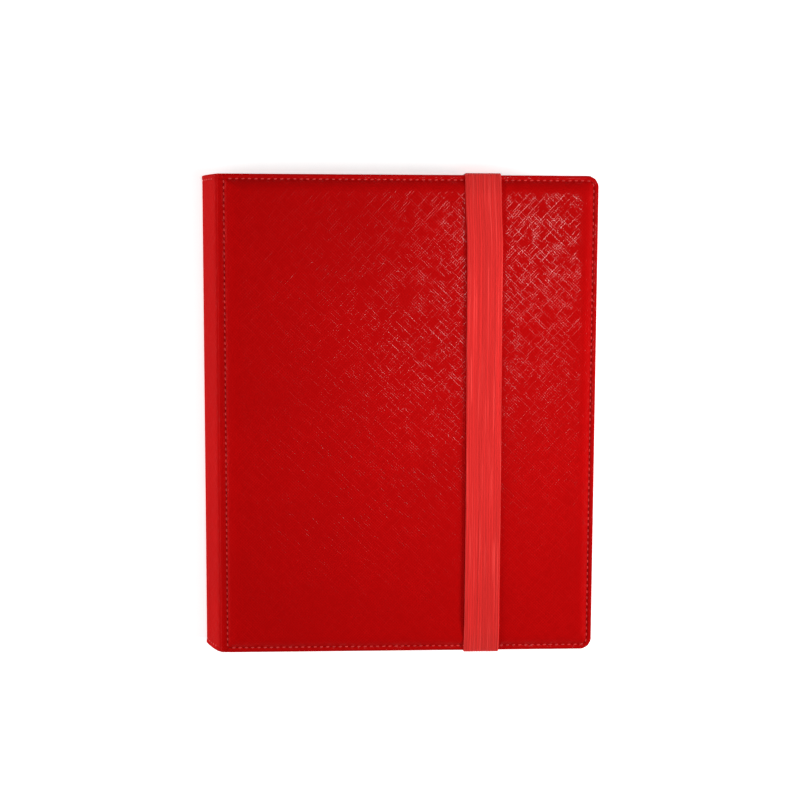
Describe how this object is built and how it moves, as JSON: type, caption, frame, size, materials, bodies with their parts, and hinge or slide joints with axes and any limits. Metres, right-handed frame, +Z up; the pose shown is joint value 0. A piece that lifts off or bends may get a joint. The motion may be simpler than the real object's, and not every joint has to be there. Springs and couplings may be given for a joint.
{
  "type": "trading card binder",
  "caption": "Padded leathercloth binder for trading cards, with side-loading pocket pages bound in a flat spine, sewn edges and an elastic closing strap.",
  "frame": {"origin": "middle of the closed binder's footprint, on the surface it lies on", "axes": "+Z up through the closed binder from the back cover to the front cover, +Y to the head of the book along the spine, +X from the spine to the fore edge"},
  "size_m": [0.278, 0.3408, 0.0394],
  "materials": {
    "red_leathercloth": "satin",
    "foam": "matte",
    "greyboard": "matte",
    "black_lining": "matte",
    "red_thread": "satin",
    "red_elastic": "matte",
    "page_sheet": "satin",
    "clear_film": "gloss",
    "black_card": "matte",
    "black_thread": "matte"
  },
  "bodies": {
    "back_cover": {"back_skin": "red_leathercloth", "back_foam": "foam", "back_board": "greyboard", "back_lining": "black_lining", "back_seam_thread": "red_thread", "strap_tails": "red_elastic"},
    "spine": {"spine_skin": "red_leathercloth", "spine_board": "greyboard", "spine_lining": "black_lining", "spine_seam_thread": "red_thread", "page_tabs": "page_sheet", "binding_spacers": "black_card", "binding_thread": "black_thread"},
    "front_cover": {"front_skin": "red_leathercloth", "front_foam": "foam", "front_board": "greyboard", "front_lining": "black_lining", "front_seam_thread": "red_thread"},
    "strap": {"elastic_strap": "red_elastic"},
    "page_01": {"page_01": "page_sheet", "pockets_01": "clear_film"},
    "page_02": {"page_02": "page_sheet", "pockets_02": "clear_film"},
    "page_03": {"page_03": "page_sheet", "pockets_03": "clear_film"},
    "page_04": {"page_04": "page_sheet", "pockets_04": "clear_film"},
    "page_05": {"page_05": "page_sheet", "pockets_05": "clear_film"},
    "page_06": {"page_06": "page_sheet", "pockets_06": "clear_film"},
    "page_07": {"page_07": "page_sheet", "pockets_07": "clear_film"},
    "page_08": {"page_08": "page_sheet", "pockets_08": "clear_film"},
    "page_09": {"page_09": "page_sheet", "pockets_09": "clear_film"},
    "page_10": {"page_10": "page_sheet", "pockets_10": "clear_film"},
    "page_11": {"page_11": "page_sheet", "pockets_11": "clear_film"},
    "page_12": {"page_12": "page_sheet", "pockets_12": "clear_film"},
    "page_13": {"page_13": "page_sheet", "pockets_13": "clear_film"},
    "page_14": {"page_14": "page_sheet", "pockets_14": "clear_film"},
    "page_15": {"page_15": "page_sheet", "pockets_15": "clear_film"},
    "page_16": {"page_16": "page_sheet", "pockets_16": "clear_film"},
    "page_17": {"page_17": "page_sheet", "pockets_17": "clear_film"},
    "page_18": {"page_18": "page_sheet", "pockets_18": "clear_film"},
    "page_19": {"page_19": "page_sheet", "pockets_19": "clear_film"},
    "page_20": {"page_20": "page_sheet", "pockets_20": "clear_film"}
  },
  "joints": [
    {"name": "spine_hinge", "type": "hinge", "parent": "back_cover", "child": "spine", "pos_m": [-0.13853, 0, 0.0043], "axis": [0, -1, 0], "range_deg": [0, 113]},
    {"name": "front_hinge", "type": "hinge", "parent": "spine", "child": "front_cover", "pos_m": [-0.12603, 0, 0.03376], "axis": [0, -1, 0], "range_deg": [0, 67.01]},
    {"name": "strap_release", "type": "hinge", "parent": "back_cover", "child": "strap", "pos_m": [0.05907, 0, 0.00395], "axis": [0, 1, 0], "range_deg": [0, 180.01], "deforming": ["elastic_strap"]},
    {"name": "page_01_turn", "type": "hinge", "parent": "spine", "child": "page_01", "pos_m": [-0.13309, 0, 0.00688], "axis": [0, -1, 0], "range_deg": [-113.01, 0]},
    {"name": "page_02_turn", "type": "hinge", "parent": "spine", "child": "page_02", "pos_m": [-0.13258, 0, 0.00808], "axis": [0, -1, 0], "range_deg": [-98.01, 0]},
    {"name": "page_03_turn", "type": "hinge", "parent": "spine", "child": "page_03", "pos_m": [-0.13207, 0, 0.00928], "axis": [0, -1, 0], "range_deg": [-95.71, 0]},
    {"name": "page_04_turn", "type": "hinge", "parent": "spine", "child": "page_04", "pos_m": [-0.13156, 0, 0.01047], "axis": [0, -1, 0], "range_deg": [-93.41, 0]},
    {"name": "page_05_turn", "type": "hinge", "parent": "spine", "child": "page_05", "pos_m": [-0.13105, 0, 0.01167], "axis": [0, -1, 0], "range_deg": [-91.11, 0]},
    {"name": "page_06_turn", "type": "hinge", "parent": "spine", "child": "page_06", "pos_m": [-0.13054, 0, 0.01287], "axis": [0, -1, 0], "range_deg": [-88.81, 0]},
    {"name": "page_07_turn", "type": "hinge", "parent": "spine", "child": "page_07", "pos_m": [-0.13004, 0, 0.01408], "axis": [0, -1, 0], "range_deg": [-86.51, 0]},
    {"name": "page_08_turn", "type": "hinge", "parent": "spine", "child": "page_08", "pos_m": [-0.12953, 0, 0.01528], "axis": [0, -1, 0], "range_deg": [-84.21, 0]},
    {"name": "page_09_turn", "type": "hinge", "parent": "spine", "child": "page_09", "pos_m": [-0.12902, 0, 0.01648], "axis": [0, -1, 0], "range_deg": [-81.91, 0]},
    {"name": "page_10_turn", "type": "hinge", "parent": "spine", "child": "page_10", "pos_m": [-0.12851, 0, 0.01767], "axis": [0, -1, 0], "range_deg": [-79.61, 0]},
    {"name": "page_11_turn", "type": "hinge", "parent": "spine", "child": "page_11", "pos_m": [-0.128, 0, 0.01887], "axis": [0, -1, 0], "range_deg": [0, 33.61]},
    {"name": "page_12_turn", "type": "hinge", "parent": "spine", "child": "page_12", "pos_m": [-0.12749, 0, 0.02007], "axis": [0, -1, 0], "range_deg": [0, 35.91]},
    {"name": "page_13_turn", "type": "hinge", "parent": "spine", "child": "page_13", "pos_m": [-0.12698, 0, 0.02127], "axis": [0, -1, 0], "range_deg": [0, 38.21]},
    {"name": "page_14_turn", "type": "hinge", "parent": "spine", "child": "page_14", "pos_m": [-0.12647, 0, 0.02247], "axis": [0, -1, 0], "range_deg": [0, 40.51]},
    {"name": "page_15_turn", "type": "hinge", "parent": "spine", "child": "page_15", "pos_m": [-0.12596, 0, 0.02368], "axis": [0, -1, 0], "range_deg": [0, 42.81]},
    {"name": "page_16_turn", "type": "hinge", "parent": "spine", "child": "page_16", "pos_m": [-0.12545, 0, 0.02488], "axis": [0, -1, 0], "range_deg": [0, 45.11]},
    {"name": "page_17_turn", "type": "hinge", "parent": "spine", "child": "page_17", "pos_m": [-0.12494, 0, 0.02608], "axis": [0, -1, 0], "range_deg": [0, 47.41]},
    {"name": "page_18_turn", "type": "hinge", "parent": "spine", "child": "page_18", "pos_m": [-0.12443, 0, 0.02728], "axis": [0, -1, 0], "range_deg": [0, 49.71]},
    {"name": "page_19_turn", "type": "hinge", "parent": "spine", "child": "page_19", "pos_m": [-0.12392, 0, 0.02848], "axis": [0, -1, 0], "range_deg": [0, 52.01]},
    {"name": "page_20_turn", "type": "hinge", "parent": "spine", "child": "page_20", "pos_m": [-0.12341, 0, 0.02967], "axis": [0, -1, 0], "range_deg": [0, 67.01]}
  ],
  "couplings": [
    {"joint": "front_hinge", "follows": "spine_hinge", "ratio": 0.59292},
    {"joint": "strap_release", "follows": "spine_hinge", "ratio": 1.5929},
    {"joint": "page_01_turn", "follows": "spine_hinge", "ratio": -1},
    {"joint": "page_02_turn", "follows": "spine_hinge", "ratio": -0.86726},
    {"joint": "page_03_turn", "follows": "spine_hinge", "ratio": -0.8469},
    {"joint": "page_04_turn", "follows": "spine_hinge", "ratio": -0.82655},
    {"joint": "page_05_turn", "follows": "spine_hinge", "ratio": -0.80619},
    {"joint": "page_06_turn", "follows": "spine_hinge", "ratio": -0.78584},
    {"joint": "page_07_turn", "follows": "spine_hinge", "ratio": -0.76549},
    {"joint": "page_08_turn", "follows": "spine_hinge", "ratio": -0.74513},
    {"joint": "page_09_turn", "follows": "spine_hinge", "ratio": -0.72478},
    {"joint": "page_10_turn", "follows": "spine_hinge", "ratio": -0.70442},
    {"joint": "page_11_turn", "follows": "spine_hinge", "ratio": 0.29735},
    {"joint": "page_12_turn", "follows": "spine_hinge", "ratio": 0.3177},
    {"joint": "page_13_turn", "follows": "spine_hinge", "ratio": 0.33805},
    {"joint": "page_14_turn", "follows": "spine_hinge", "ratio": 0.35841},
    {"joint": "page_15_turn", "follows": "spine_hinge", "ratio": 0.37876},
    {"joint": "page_16_turn", "follows": "spine_hinge", "ratio": 0.39911},
    {"joint": "page_17_turn", "follows": "spine_hinge", "ratio": 0.41947},
    {"joint": "page_18_turn", "follows": "spine_hinge", "ratio": 0.43982},
    {"joint": "page_19_turn", "follows": "spine_hinge", "ratio": 0.46018},
    {"joint": "page_20_turn", "follows": "spine_hinge", "ratio": 0.59292}
  ]
}
